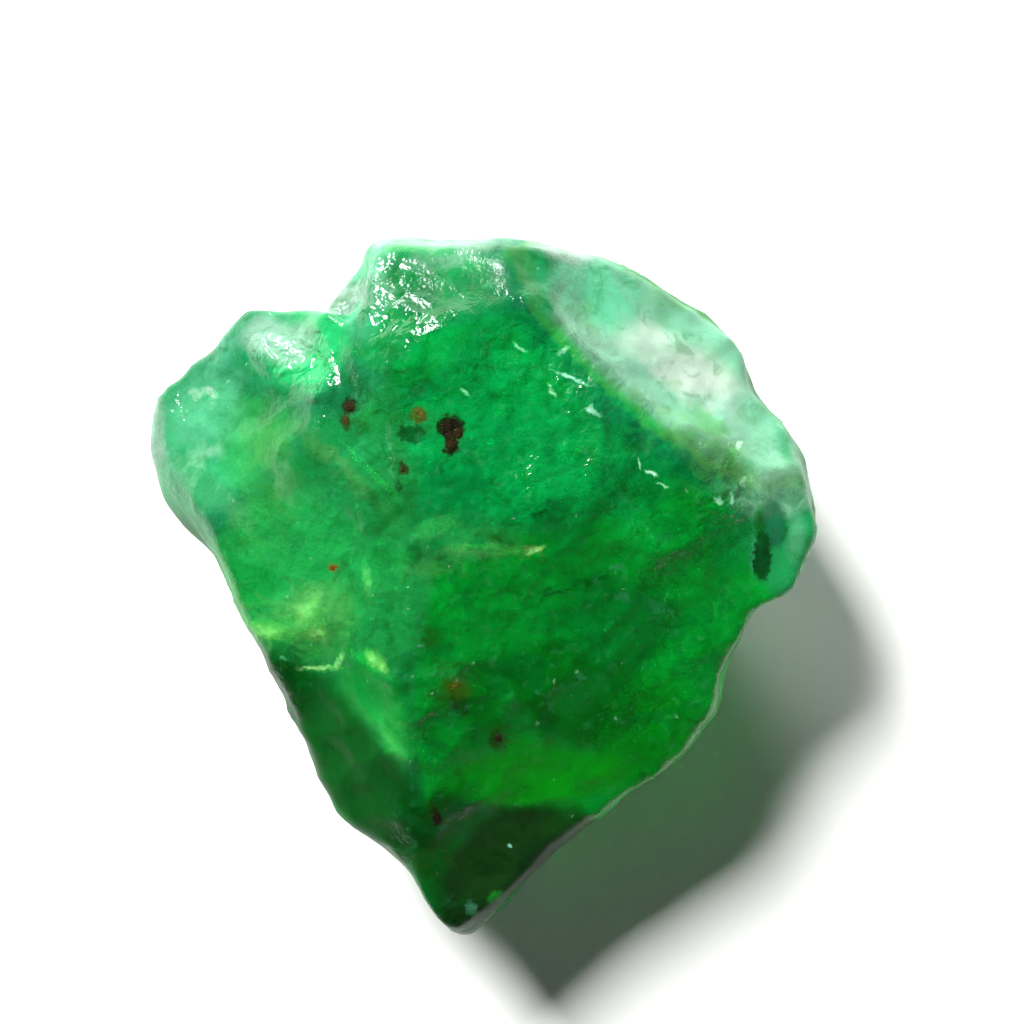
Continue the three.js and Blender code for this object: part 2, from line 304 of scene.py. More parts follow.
paint = {
    "under": "#067e3a",      # sides and underside
    # faces in the order of upperFaces; the fifth, the facet beside the tip, is darkened as painted shade
    "faces": ["#08dc68", "#04c840", "#24bc58", "#24a466", "#088c3c", "#10ac5a", "#14b458"],
    # break 0, the large break, is pale: clouded, with painted backlight; break 2, the hollow above the tip,
    # is darkened as painted shade
    "breaks": {0: "#84c8a4", 1: "#28b464", 2: "#0a6c20", 3: "#48c488", 4: "#2cc874", 5: "#1c9c58",
               6: "#20a460", 7: "#5ccc98"},      # by place in breaks
    "warp": (0.9, 2.4, (31, 32, 33)),            # how far patch edges are bent, over what distance, seeds
    "patches": [  # centre, radii, colour, strength; later ones lie over earlier ones
        ((13.4, 13.4, 3.0), (3.6, 2.4, 7.0), "#c4d6c0", 0.6),        # whitest part of the large break: clouded, with painted backlight where it is thin
        ((10.2, 16.0, 4.0), (2.8, 1.8, 7.0), "#b8e4c4", 0.7),
        ((6.8, 18.5, 4.0), (3.8, 3.2, 8.0), "#64cc9c", 0.8),         # its deeper end
        ((19.0, 12.0, 1.0), (2.0, 6.0, 6.0), "#48b088", 0.7),        # its thin rim
        ((18.4, 7.2, 4.0), (3.2, 3.0, 9.0), "#80c4a0", 0.9),         # its pale lower end: painted light on a slope in shade
        ((-12.4, 15.9, 5.0), (3.4, 2.0, 6.0), "#b0d8c4", 0.7),       # hazy edges of the shoulder and wide end: milky, with a painted sheen
        ((-9.0, 18.2, 5.0), (2.6, 1.8, 6.0), "#c8dcd4", 0.6),
        ((-1.0, 22.0, 5.0), (10.0, 1.6, 6.0), "#a8ccb8", 0.85),
        ((5.4, 21.4, 5.0), (2.6, 1.3, 6.0), "#c0dccc", 0.7),
        ((-6.4, 18.6, 8.5), (1.9, 2.2, 5.0), "#90d4b0", 0.6),
        # pale left rim of the lobe: milky, with painted light
        ((-20.9, 9.5, 3.0), (1.0, 4.0, 6.0), "#bcd4c8", 0.5),
        ((-17.2, 11.5, 5.0), (3.2, 2.6, 6.0), "#60c490", 0.7),       # pale part of the lobe
        ((-18.2, 6.5, 3.0), (3.0, 2.5, 6.0), "#44b474", 0.7),
        ((-13.5, 8.0, 6.0), (3.0, 4.5, 6.0), "#38b050", 0.6),
        ((-9.5, 8.0, 9.0), (4.2, 3.6, 6.0), "#24c468", 0.6),
        ((-6.0, 5.8, 10.0), (2.6, 2.4, 4.0), "#30c45c", 0.5),
        ((-14.8, 0.2, 4.0), (2.6, 2.4, 5.0), "#0ca03c", 0.7),        # by the left edge
        ((-10.0, -2.4, 7.0), (3.4, 2.8, 5.0), "#24a840", 0.6),
        ((-7.2, -6.8, 8.0), (2.6, 2.2, 5.0), "#0ca83c", 0.8),        # above the dark facet
        ((-5.2, -9.0, 8.0), (1.7, 2.2, 4.0), "#14b044", 0.8),
        ((-1.4, 3.2, 11.0), (4.2, 1.5, 4.0), "#24b85c", 0.7),        # broken veil across the middle
        ((4.6, 7.0, 10.5), (8.5, 3.6, 6.0), "#04c45c", 0.7),         # clear bright middle
        ((15.6, 3.2, 5.0), (2.0, 2.4, 6.0), "#04b04c", 0.7),
        ((8.4, -2.4, 8.0), (4.4, 3.2, 6.0), "#02983c", 0.6),         # deep green below the cross ridge, darker towards the tip: its own green with painted shade
        ((10.8, -9.2, 4.0), (4.8, 4.0, 6.0), "#029818", 0.8),
        ((4.4, -7.0, 7.0), (6.6, 3.6, 6.0), "#028018", 0.8),
        ((3.6, -12.0, 5.2), (6.4, 1.8, 4.0), "#04c41c", 0.9),        # bright band above the hollow: painted light on a facet that catches it
        ((-9.0, -14.4, 1.0), (1.6, 4.0, 4.0), "#08a840", 0.5),       # thin rim of the dark facet
        ((-4.6, -18.0, 1.0), (2.4, 2.4, 4.0), "#08a42c", 0.8)],
    "stains": [  # centre, radius: brown iron stain soaked into the crystal
        ((-1.8, 9.5), 1.3), ((-4.0, 10.4), 1.5), ((-8.1, 11.1), 1.1), ((-4.8, 7.2), 0.9), ((-9.2, 1.3), 0.4),
        ((-1.4, -6.4), 1.9), ((1.1, -9.8), 1.1), ((-2.7, -14.7), 1.2), ((-3.0, -3.0), 1.4),
        ((-3.0, -17.4), 1.6)],
    "calm": [  # smooth, matt parts: centre, radii, amount
        ((-12.5, 8.0), (3.5, 4.0), 0.4), ((12.5, 14.0), (9.0, 8.0), 0.8), ((-8.5, -11.5), (5.0, 7.5), 1.0),
        ((3.0, -17.5), (7.5, 5.0), 1.0), ((4.4, -12.0), (8.0, 3.0), 0.8), ((0.5, 19.8), (5.0, 2.0), 0.45),
        ((18.6, 3.0), (2.4, 5.0), 0.6)],
    "milk": [  # clouded parts
        ((13.5, 13.5), (7.5, 5.0), 0.8), ((8.5, 18.5), (5.0, 4.0), 0.8), ((-17.5, 9.0), (4.5, 6.0), 0.6),
        ((19.0, 6.0), (2.8, 7.0), 0.8), ((-12.0, 15.5), (5.0, 3.5), 0.7), ((-3.0, 21.3), (9.0, 1.9), 0.5),
        ((3.0, -18.0), (6.5, 5.0), 0.9), ((-8.5, -11.5), (4.5, 7.0), 0.8), ((-12.0, 1.0), (6.0, 7.0), 0.4)],
    "paintedFlash": [  # parts full of small cracks, whose flash of reflected light is painted in
        ((-13.6, -2.4), (2.6, 1.8), 0.6), ((-9.8, -2.6), (4.0, 2.8), 0.7), ((-5.4, -8.8), (2.2, 2.8), 0.3),
        ((-13.5, 7.0), (5.0, 5.0), 0.35), ((0.0, 2.8), (4.5, 1.6), 0.4), ((14.6, 8.6), (3.6, 3.4), 0.6)],
    "rough": [  # parts broken so finely that they glint
        ((-12.6, 14.7), (2.4, 1.9), 0.8), ((-10.9, 15.0), (2.2, 2.0), 0.8), ((-10.6, 13.6), (2.0, 1.8), 0.7),
        ((-6.5, 17.9), (2.2, 2.3), 0.85), ((-6.6, 20.0), (2.0, 1.2), 0.5), ((-5.2, 16.4), (2.0, 1.6), 0.5),
        ((7.0, 13.2), (4.0, 3.8), 0.9), ((9.8, 11.0), (2.6, 2.4), 0.8), ((15.6, 6.6), (2.2, 2.6), 0.6),
        ((-1.0, 15.0), (5.0, 4.0), 0.35), ((5.0, 7.0), (7.0, 4.0), 0.3)],
    # shapes with a border, in four sets: over what distance the border wanders, how far, how fine, whether
    # thin places show in the set, and whether it keeps light from passing; then each shape's middle from
    # above, half sizes, turn, mm in from the border where it starts and is full, colour, amount
    "shapes": [
        (3.0, 0.6, 1, False, False, [
            ((3.9, -20.2), (7.0, 6.7), 0, (-0.3, 1.0), "#16340f", 0.9),         # hollow above the tip, darkened as painted shade
            ((4.6, -18.6), (2.6, 3.4), -30, (-0.6, 1.2), "#0c2c14", 0.6),
            ((3.4, -12.1), (6.8, 1.7), 3, (-0.2, 0.5), "#04c81c", 0.6),         # bright band over it: painted light on a facet that catches it
            ((-8.9, -10.7), (9.5, 2.9), -50, (-0.5, 0.7), "#045412", 0.9),     # dark smooth facet, its darkness painted shade
            ((18.6, 7.2), (2.2, 1.6), 20, (-0.3, 0.8), "#98d8b4", 0.4),         # pale end of the large break: painted light on a slope in shade
            ((19.5, 7.9), (0.35, 2.6), 15, (-0.15, 0.25), "#2c9c60", 0.7),      # streaks in the right edge
            ((18.7, 10.4), (0.3, 1.8), 8, (-0.15, 0.25), "#50b484", 0.5),
            # painted light: near white, lifting the end of the large break out of its shade
            ((18.9, 6.2), (3.0, 1.7), 10, (-0.4, 0.6), "#b8ffd0", 0.85),
            ((20.2, 3.4), (0.6, 1.9), -5, (-0.2, 0.4), "#70d09c", 0.6)]),
        (1.1, 1.2, 4, True, False, [
            ((-10.5, -1.6), (2.7, 1.9), 25, (-0.6, 0.8), "#60bc60", 0.6),       # shattered patch: the painted flash of light off its cracks
            ((-10.9, -1.6), (0.7, 0.45), 30, (-0.2, 0.3), "#80c870", 0.5),
            ((-10.3, -3.1), (0.8, 0.4), 10, (-0.2, 0.3), "#80c86c", 0.5),
            ((-13.8, -2.7), (1.4, 0.6), -6, (-0.2, 0.3), "#6cc464", 0.65),
            ((-6.8, -0.3), (0.4, 1.3), 8, (-0.2, 0.3), "#48b050", 0.45),
            ((-6.5, -2.1), (0.4, 0.8), -8, (-0.1, 0.2), "#067c2c", 0.5),
            ((-6.4, -4.6), (0.9, 0.5), -40, (-0.1, 0.25), "#70cc68", 0.7),
            ((-5.5, -9.3), (2.2, 0.9), -56, (-0.3, 0.6), "#28b850", 0.6),
            ((-2.6, 1.5), (2.3, 0.9), 14, (-0.4, 0.5), "#54b85c", 0.55),        # broken veil
            ((-2.8, 3.7), (1.6, 0.7), 10, (-0.2, 0.3), "#50cc70", 0.5),
            ((0.6, 2.4), (2.6, 0.35), 4, (-0.15, 0.2), "#70cc70", 0.6),
            ((3.5, 2.4), (0.7, 0.3), 22, (-0.1, 0.2), "#a0d87c", 0.8),
            ((-8.6, 7.6), (3.9, 0.45), -45, (-0.3, 0.4), "#6cc868", 0.6),       # pale crack
            ((-5.35, 8.5), (0.14, 1.8), 0, (-0.1, 0.12), "#70d8a0", 0.6),
            ((-17.5, 12.4), (0.8, 0.35), -10, (-0.15, 0.25), "#d0f0dc", 0.6),   # pale blots on the lobe; the first two are painted glints
            ((-17.4, 8.6), (1.3, 0.7), 20, (-0.3, 0.5), "#a0e0bc", 0.5),
            ((-19.6, 7.4), (0.7, 1.6), 10, (-0.3, 0.4), "#78c498", 0.5),
            ((-13.4, 9.2), (1.4, 2.0), 20, (-0.5, 0.7), "#5cc060", 0.45),
            ((-12.2, 6.8), (0.7, 1.2), 0, (-0.3, 0.4), "#90dc9c", 0.5),
            ((-15.2, 4.6), (0.6, 1.5), 30, (-0.3, 0.4), "#70cc84", 0.45),
            ((-16.2, 10.8), (0.8, 1.0), 0, (-0.3, 0.4), "#249858", 0.4),
            ((13.6, 8.6), (3.8, 0.8), -52, (-0.4, 0.6), "#80c884", 0.6),        # haze and moss by the ridge
            ((15.4, 8.8), (3.2, 0.7), -60, (-0.3, 0.5), "#44b430", 0.55),
            ((15.8, 7.0), (2.4, 1.1), -55, (-0.4, 0.7), "#9ce0a0", 0.65),
            ((12.8, 13.9), (5.0, 1.7), -38, (-0.3, 0.8), "#d8e0d8", 0.5),       # palest streak: clouded, with painted backlight where the break is thin
            ((-2.8, 20.5), (2.2, 0.8), 8, (-0.3, 0.5), "#98c8b0", 0.5),         # haze on the wide end: a painted sheen
            ((2.6, 21.2), (1.5, 0.6), -6, (-0.2, 0.3), "#067c40", 0.7),
            ((-2.6, -3.2), (0.8, 1.2), 10, (-0.4, 0.4), "#106810", 0.35),       # dark veins and blots
            ((-4.0, 13.1), (1.4, 0.9), 10, (-0.3, 0.3), "#087c28", 0.6),
            ((-7.1, 12.3), (0.3, 0.8), 0, (-0.2, 0.2), "#08781c", 0.6),
            ((9.7, 9.0), (0.6, 1.6), 4, (-0.2, 0.3), "#047c1c", 0.7),
            ((11.6, 9.4), (0.8, 0.5), -20, (-0.2, 0.3), "#047428", 0.6),
            ((4.5, 4.7), (1.2, 0.45), 10, (-0.2, 0.2), "#046c20", 0.8),
            ((5.9, 0.1), (2.9, 0.2), 18, (-0.1, 0.1), "#047820", 0.7),
            ((1.0, 3.1), (0.8, 0.25), 8, (-0.1, 0.1), "#047424", 0.7),
            ((8.7, 1.0), (0.6, 0.3), -30, (-0.1, 0.15), "#60d4a4", 0.5),        # pale flecks
            ((9.1, -0.5), (0.5, 0.35), 20, (-0.1, 0.15), "#60d4a4", 0.4),
            ((11.5, -1.2), (0.8, 0.4), -20, (-0.15, 0.2), "#50cc98", 0.4),
            ((6.3, -5.5), (0.4, 0.3), 0, (-0.1, 0.15), "#58cc98", 0.5)]),
        (0.4, 0.4, 3, False, False, [
            ((17.65, 4.1), (0.35, 1.1), 0, (-0.1, 0.15), "#0c9418", 0.8),       # dark slot and round it: painted shade of a narrow crevice
            ((18.6, 4.1), (1.0, 1.6), 8, (-0.1, 0.3), "#0a6034", 0.7),
            ((18.75, 3.7), (0.65, 1.2), 8, (-0.2, 0.5), "#2c9468", 0.8),
            ((17.9, 2.0), (0.62, 1.6), 3, (-0.08, 0.12), "#06400e", 0.9),
            ((17.3, 2.8), (0.1, 2.1), 0, (-0.06, 0.06), "#50c090", 0.5),
            ((-11.7, -3.8), (0.8, 0.6), 0, (-0.3, 0.3), "#106c34", 0.7),
            ((-1.75, 10.1), (0.9, 0.75), 0, (-0.12, 0.12), "#2c2c14", 0.95),    # iron in the skin
            ((-1.7, 9.0), (0.5, 0.8), 0, (-0.12, 0.12), "#302410", 0.95),
            ((-8.0, 11.4), (0.5, 0.5), 10, (-0.15, 0.15), "#28240f", 0.9),
            ((-8.25, 10.45), (0.35, 0.5), 10, (-0.15, 0.15), "#3a480c", 0.85),
            ((-3.7, 10.8), (0.5, 0.6), 15, (-0.1, 0.12), "#7c7820", 0.8),
            ((-4.1, 9.65), (1.0, 0.55), 2, (-0.08, 0.1), "#06540c", 0.85),
            ((-4.65, 7.5), (0.3, 0.45), 0, (-0.12, 0.12), "#3c3010", 0.9),
            ((-4.9, 6.45), (0.25, 0.35), 0, (-0.15, 0.15), "#184c10", 0.8),
            ((-9.16, 1.28), (0.24, 0.24), 0, (-0.1, 0.08), "#a45c10", 0.95),
            ((-1.5, -6.3), (0.9, 0.8), 0, (-0.4, 0.4), "#5c6c0a", 0.7),
            ((-1.45, -6.0), (0.4, 0.3), 0, (-0.15, 0.2), "#98780c", 0.6),
            ((-1.1, -7.6), (0.45, 0.5), 0, (-0.2, 0.2), "#143808", 0.7),
            ((1.2, -9.6), (0.5, 0.6), 0, (-0.3, 0.2), "#38300a", 0.7),
            ((-2.7, -14.6), (0.35, 0.65), 10, (-0.12, 0.12), "#2c140a", 0.95),
            ((2.0, -16.6), (0.17, 0.15), 0, (-0.08, 0.08), "#98e8d0", 0.9),     # specks of light: painted glints
            ((-0.5, -20.7), (0.3, 0.45), 20, (-0.15, 0.15), "#60b090", 0.6),
            ((1.0, -19.9), (0.5, 0.3), 30, (-0.15, 0.15), "#209c30", 0.7),
            ((-3.6, -3.6), (0.25, 0.1), 10, (-0.08, 0.08), "#78e8b8", 0.7),
            ((-12.4, -4.5), (0.16, 0.16), 0, (-0.08, 0.08), "#68d898", 0.6)]),
        (0.5, 0.3, 3, True, True, [    # painted glints as small bright cracks, then the painted flash of the shattered patch
            ((5.9, 13.1), (1.3, 0.12), -20, (-0.06, 0.08), "#c8fce8", 0.9),
            ((5.3, 14.8), (0.5, 0.15), 35, (-0.06, 0.08), "#c0f8e0", 0.8),
            ((4.6, 12.3), (0.12, 0.4), 30, (-0.06, 0.08), "#c0f8e0", 0.8),
            ((7.1, 11.0), (0.6, 0.16), -20, (-0.06, 0.08), "#c8fce8", 0.9),
            ((7.0, 11.2), (0.14, 0.35), -15, (-0.05, 0.06), "#c8fce8", 0.8),
            ((2.6, 15.0), (0.45, 0.1), -30, (-0.05, 0.06), "#a8f0cc", 0.7),
            ((-0.8, 12.2), (0.4, 0.1), -40, (-0.05, 0.06), "#a0f0c8", 0.7),
            ((10.0, 7.8), (0.08, 0.35), 10, (-0.05, 0.06), "#c0f8e0", 0.8),
            ((10.8, 7.2), (0.4, 0.14), -25, (-0.05, 0.08), "#d0fcec", 0.9),
            ((11.5, 6.5), (0.35, 0.08), -15, (-0.05, 0.06), "#c8fce8", 0.8),
            ((15.0, 5.5), (0.4, 0.2), -30, (-0.06, 0.1), "#b0ecd0", 0.8),
            ((15.9, 5.6), (0.1, 0.4), 20, (-0.05, 0.06), "#d0f4e0", 0.8),
            ((16.3, 9.0), (0.2, 0.35), -30, (-0.06, 0.08), "#c8f8d0", 0.8),
            ((16.6, 6.7), (0.2, 0.35), 0, (-0.06, 0.08), "#d0fcdc", 0.8),
            # the painted flash of light off small cracks
            ((-10.2, -5.05), (1.1, 0.15), 3, (-0.08, 0.12), "#a8e08c", 0.75),
            ((-8.8, -4.6), (0.2, 0.5), -25, (-0.1, 0.1), "#90d880", 0.6),
            ((3.6, 2.4), (0.6, 0.16), 22, (-0.08, 0.1), "#a8e088", 0.7),
            ((-13.7, -2.8), (1.1, 0.4), -3, (-0.15, 0.3), "#88cc6c", 0.6),      # shattered patch, its painted flash
            ((-10.7, -0.9), (1.2, 0.6), 40, (-0.3, 0.5), "#74bc68", 0.5),
            ((-10.3, -2.8), (0.7, 0.3), 10, (-0.15, 0.25), "#8ccc70", 0.6),
            ((-7.0, 0.6), (0.25, 0.9), 5, (-0.15, 0.2), "#60bc60", 0.45),
            ((-6.4, -4.6), (0.9, 0.4), -40, (-0.12, 0.25), "#84d068", 0.65),
            ((-5.2, -10.0), (1.2, 0.4), -50, (-0.2, 0.35), "#50c45c", 0.5)])],
    # along the ridge of the large break, in its ellipsoid: mm in from its border where it comes and goes; the
    # dark teal one is a painted shadow band beside the ridge
    "ridges": [((-3.0, -1.6), (-1.3, -0.8), "#087c58", 0.7), ((-1.3, -0.9), (-0.6, -0.2), "#60ac50", 0.45)],
    "ridgeWander": (1.6, 0.9, 2),
    "shapesAbove": (0.5, 3.0),       # heights between which shapes and ridges come in
    "shapeDepth": 300.0,             # half depth of a shape, so great that only its border from above tells
    "film": (0.9, 4, 1.5, (0.35, 0.58), 0.55),   # thin places: size, detail, distortion, ramp, least share
    # painted glints: pale dots that stand for light caught in tiny pits
    "paintedGlints": {"every": 1.3, "chosen": (0.6, 0.62), "radius": 0.13, "colour": "#c8f4d8", "amount": 0.6},
    "soft": {  # where each kind of cover starts and is full
        "face": (-0.5, -0.05), "upper": (-3.0, -1.0),      # mm over the highest face's plane
        "break": (-0.9, -0.4),                              # mm into the break
        "patch": (1.15, 0.7), "spot": (1.15, 0.45),         # distance in radii
        "spotHeight": (-6.0, 0.0)},
}

mottling = [
    # soft clouds and finer mottling, darker and clearer or paler and hazier, then the bright yellow-green of
    # the crack flashes, a painted reflection, dark flecks and iron stain; each row: the noise's size, detail,
    # roughness and distortion, where it starts and is full, then colour, blend, amount and the mark that it
    # shows on
    (4.5, 5, 0.62, 1.0, (0.47, 0.33), "#98c49c", "MULTIPLY", 0.65, "clear"),
    (4.5, 5, 0.62, 1.0, (0.52, 0.70), "#8c8c98", "DODGE", 0.8, "clear"),
    (4.5, 5, 0.62, 1.0, (0.54, 0.72), "#40dc88", "MIX", 0.25, "clear"),
    (2.6, 3, 0.5, 1.2, (0.50, 0.36), "#03883c", "MIX", 0.4, "clear"),
    (1.3, 5, 0.62, 1.0, (0.48, 0.33), "#c8e0c4", "MULTIPLY", 1.0, "clear"),
    (1.3, 5, 0.62, 1.0, (0.53, 0.70), "#808888", "DODGE", 0.6, "clear"),
    (0.7, 3, 0.55, 0.5, (0.56, 0.72), "#60e09c", "MIX", 0.22, "clear"),
    (1.7, 5, 0.62, 0.8, (0.47, 0.33), "#a0c8ac", "MULTIPLY", 0.8, "milk"),
    (1.7, 5, 0.62, 0.8, (0.53, 0.68), "#7c8888", "DODGE", 0.6, "milk"),
    (2.1, 4, 0.6, 1.5, (0.49, 0.56), "#60cc5c", "MIX", 0.4, "paintedFlash"),
    (1.7, 5, 0.7, 0.8, (0.36, 0.30), "#064e1c", "MIX", 0.12, "clear"),
    (0.9, 4, 0.65, 0.6, (0.45, 0.56), "#3c4c08", "MIX", 0.35, "stain"),
]


def smoothRamp(value, start, end):  # 0 at start, 1 at end, 3t^2 - 2t^3 between
    t = np.clip((value - start) / (end - start), 0, 1)
    return t * t * (3 - 2 * t)


def spread(points, spots):
    # the greatest of soft round spots from above: amount by a ramp of the distance in radii
    amount = np.zeros(len(points))
    for (x, y), (across, along), strength in spots:
        away = np.hypot((points[:, 0] - x) / across, (points[:, 1] - y) / along)
        amount = np.maximum(amount, strength * smoothRamp(away, *paint["soft"]["spot"]))
    return amount * smoothRamp(points[:, 2], *paint["soft"]["spotHeight"])


def heightAbove(points, place, rise):  # distance above a face's plane
    x, y, z = (points - np.array(place)).T
    return (z - rise[0] * x - rise[1] * y) / np.sqrt(1 + rise[0]**2 + rise[1]**2)


def coloursOf(points):
    # each face, break and patch in turn covers what is below it; gives the colour, the marks and calm
    soft = paint["soft"]
    distance, size, seeds = paint["warp"]
    bent = points + distance * np.stack([lumpsAt(points, size, seed) for seed in seeds], 1)
    colour = np.tile(linear(paint["under"]), (len(points), 1))

    def cover(hexColour, share):
        colour[:] = colour + share[:, None] * (np.array(linear(hexColour)) - colour)

    above = np.stack([heightAbove(points, place, rise) for place, rise in lump["upperFaces"]], 1)
    highest = above.max(1)
    for index, hexColour in enumerate(paint["faces"]):
        onFace = smoothRamp(above[:, index] - highest, *soft["face"])
        cover(hexColour, onFace * smoothRamp(highest, *soft["upper"]))
    inBreak = np.stack([insideBreak(points, *lump["breaks"][index]) for index in paint["breaks"]], 1)
    for column, hexColour in enumerate(paint["breaks"].values()):
        cover(hexColour, smoothRamp(inBreak[:, column], *soft["break"]))
    for centre, radii, hexColour, strength in paint["patches"]:
        away = np.linalg.norm((bent - np.array(centre)) / np.array(radii), axis=1)
        cover(hexColour, strength * smoothRamp(away, *soft["patch"]))
    stain = spread(bent, [(centre, (radius, radius), 1.0) for centre, radius in paint["stains"]])
    marks = np.stack([spread(bent, paint["milk"]), spread(bent, paint["paintedFlash"]), stain,
                      spread(bent, paint["rough"])], 1)
    return colour, marks, spread(bent, paint["calm"])


skin = {
    "steep": (0.62, 0.3),                 # upward part of the normal, where steep parts start and are full
    "clearUpTo": 0.9,                     # milk at which nothing clear is left
    "pits": (0.8, 3, 0.55, 0.12),         # size, detail, roughness, depth
    "lumps": (1.2, 2, 0.4),               # size, detail, distortion
    "lumpDepths": (0.1, 1.0, 0.04, 0.8),  # from what roughness to what, depth there and there
    "reliefLeft": (0.12, 0.4),            # share of the relief left on calm and on steep parts
    "roughness": (0.14, 0.4),             # from glossy to dull
    "ior": 1.434,
    "specular": 0.06,
    "coat": (0.7, 0.05),                  # greatest weight, roughness
    "coatStart": -0.6,                    # rough less dull, where the coat starts
    "seeThrough": (0.72, 0.35, 0.6),      # transmission where clear, where clouded, share left on steep parts
    "mottlingLeft": 0.35,                 # share of the mottling left on calm parts
    "absorbed": ("#25f6c5", 200.0),       # colour left, density per metre
}


def stoneMaterial():
    # fluorite, water-worn: clear and deep green, hazy inside, with a wet gloss over a finely broken skin
    material, tree = newMaterial("wornFluorite")
    smoothStep = {"interpolation_type": "SMOOTHSTEP"}
    place = addNode(tree, "VectorMath", [addNode(tree, "TexCoord", output="Object"), (1 / mm,) * 3,
                                         tuple(-drawingOrigin)], operation="MULTIPLY_ADD")
    marked = addNode(tree, "Attribute", output="Color", attribute_name="marks")
    milk, paintedFlash, stain = [addNode(tree, "SeparateColor", [marked], output=index) for index in range(3)]
    rough = marked.node.outputs["Alpha"]
    steep = addNode(tree, "Attribute", output="Fac", attribute_name="steep")
    calm = addNode(tree, "Attribute", output="Fac", attribute_name="calm")
    dull = addNode(tree, "Math", [calm, steep], operation="MAXIMUM")
    busy = addNode(tree, "MapRange", [calm, 0.0, 1.0, 1.0, skin["mottlingLeft"]])
    clear = addNode(tree, "MapRange", [milk, 0.0, skin["clearUpTo"], 1.0, 0.0])
    clear = addNode(tree, "Math", [clear, busy], operation="MULTIPLY")
    share = {"clear": clear, "milk": milk, "paintedFlash": paintedFlash, "stain": stain}

    def wandering(size, reach, detail):  # the place, moved at random by up to about half the reach
        noise = addNode(tree, "TexNoise", {"Vector": place, "Scale": 1 / size, "Detail": detail},
                        output="Color")
        moved = addNode(tree, "VectorMath", [noise, (reach * 2,) * 3, (-reach,) * 3],
                        operation="MULTIPLY_ADD")
        return addNode(tree, "VectorMath", [place, moved], operation="ADD")

    def nearness(point, centre, half, degrees, start):
        # 0 at start, in mm in from the border of an ellipsoid on its shortest side, and 1 at its middle
        near = addNode(tree, "TexGradient", [point], output="Fac", gradient_type="SPHERICAL")
        inBox = near.node.texture_mapping   # far quicker to render than a Mapping node
        inBox.vector_type = "TEXTURE"
        inBox.translation, inBox.rotation = centre, (0, 0, np.radians(degrees))
        inBox.scale = np.array(half) * (1 - start / min(half))
        return near

    def covering(colour, hexColour, shares, blend="MIX"):
        # the colour with another over it, which covers as much as the product of the shares
        covered = shares[0]
        for value in shares[1:]:
            covered = addNode(tree, "Math", [covered, value], operation="MULTIPLY")
        colour = addNode(tree, "Mix", {0: covered, 6: colour, 7: linear(hexColour)}, output=2,
                         data_type="RGBA", blend_type=blend)
        return colour, covered

    size, detail, distortion, ramp, least = paint["film"]
    height = addNode(tree, "SeparateXYZ", [place], output="Z")
    upper = addNode(tree, "MapRange", [height, *paint["shapesAbove"], 0.0, 1.0], **smoothStep)
    film = addNode(tree, "TexNoise", {"Vector": place, "Scale": 1 / size, "Detail": detail,
                                      "Distortion": distortion})
    film = addNode(tree, "MapRange", [film, *ramp, least, 1.0])
    filmed = addNode(tree, "Math", [upper, film], operation="MULTIPLY")
    colour = addNode(tree, "Attribute", output="Color", attribute_name="tint")
    closed = 0.0   # share through which no light passes: where glints and flashes are painted as opaque cracks
    for size, reach, detail, thin, opaque, shapes in paint["shapes"]:
        bent = wandering(size, reach, detail)
        shown = {amount: addNode(tree, "Math", [filmed if thin else upper, amount], operation="MULTIPLY")
                 for amount in sorted({amount for *_, amount in shapes})}
        for centre, half, degrees, (start, full), hexColour, amount in shapes:
            near = nearness(bent, (*centre, 0), (*half, paint["shapeDepth"]), degrees, start)
            nearWhenFull = (full - start) / (min(half) - start)
            within = addNode(tree, "MapRange", [near, 0.0, nearWhenFull, 0.0, shown[amount]], **smoothStep)
            colour, covered = covering(colour, hexColour, [within])
            if opaque:
                closed = addNode(tree, "Math", [closed, covered], operation="MAXIMUM")
    start, shortest = paint["ridges"][0][0][0], min(lump["breaks"][0][1])
    near = nearness(wandering(*paint["ridgeWander"]), *lump["breaks"][0], start)
    inward = addNode(tree, "Math", [near, shortest - start, start], operation="MULTIPLY_ADD")
    for comes, goes, hexColour, amount in paint["ridges"]:
        within = addNode(tree, "MapRange", [inward, *comes, 0.0, amount], **smoothStep)
        left = addNode(tree, "MapRange", [inward, *goes, 1.0, 0.0], **smoothStep)
        colour, _ = covering(colour, hexColour, [within, left, filmed])
    for size, detail, roughness, distortion, ramp, hexColour, blend, amount, mark in mottling:
        pattern = addNode(tree, "TexNoise", {"Vector": place, "Scale": 1 / size, "Detail": detail,
                                             "Roughness": roughness, "Distortion": distortion}, output="Fac")
        within = addNode(tree, "MapRange", [pattern, *ramp, 0.0, amount], **smoothStep)
        colour, _ = covering(colour, hexColour, [within, share[mark]], blend)
    # painted glints: pale dots for light caught in tiny pits, one in each small cell, most of them left out
    glintDots = paint["paintedGlints"]
    away = addNode(tree, "TexVoronoi", {"Vector": bent, "Scale": 1 / glintDots["every"]}, output="Distance")
    chosen = addNode(tree, "SeparateColor", [away.node.outputs["Color"]])
    chosen = addNode(tree, "MapRange", [chosen, *glintDots["chosen"], 0.0, glintDots["amount"]])
    reach = glintDots["radius"] / glintDots["every"]
    dot = addNode(tree, "MapRange", [away, reach, reach / 2, 0.0, 1.0])
    colour, _ = covering(colour, glintDots["colour"], [dot, chosen, clear])

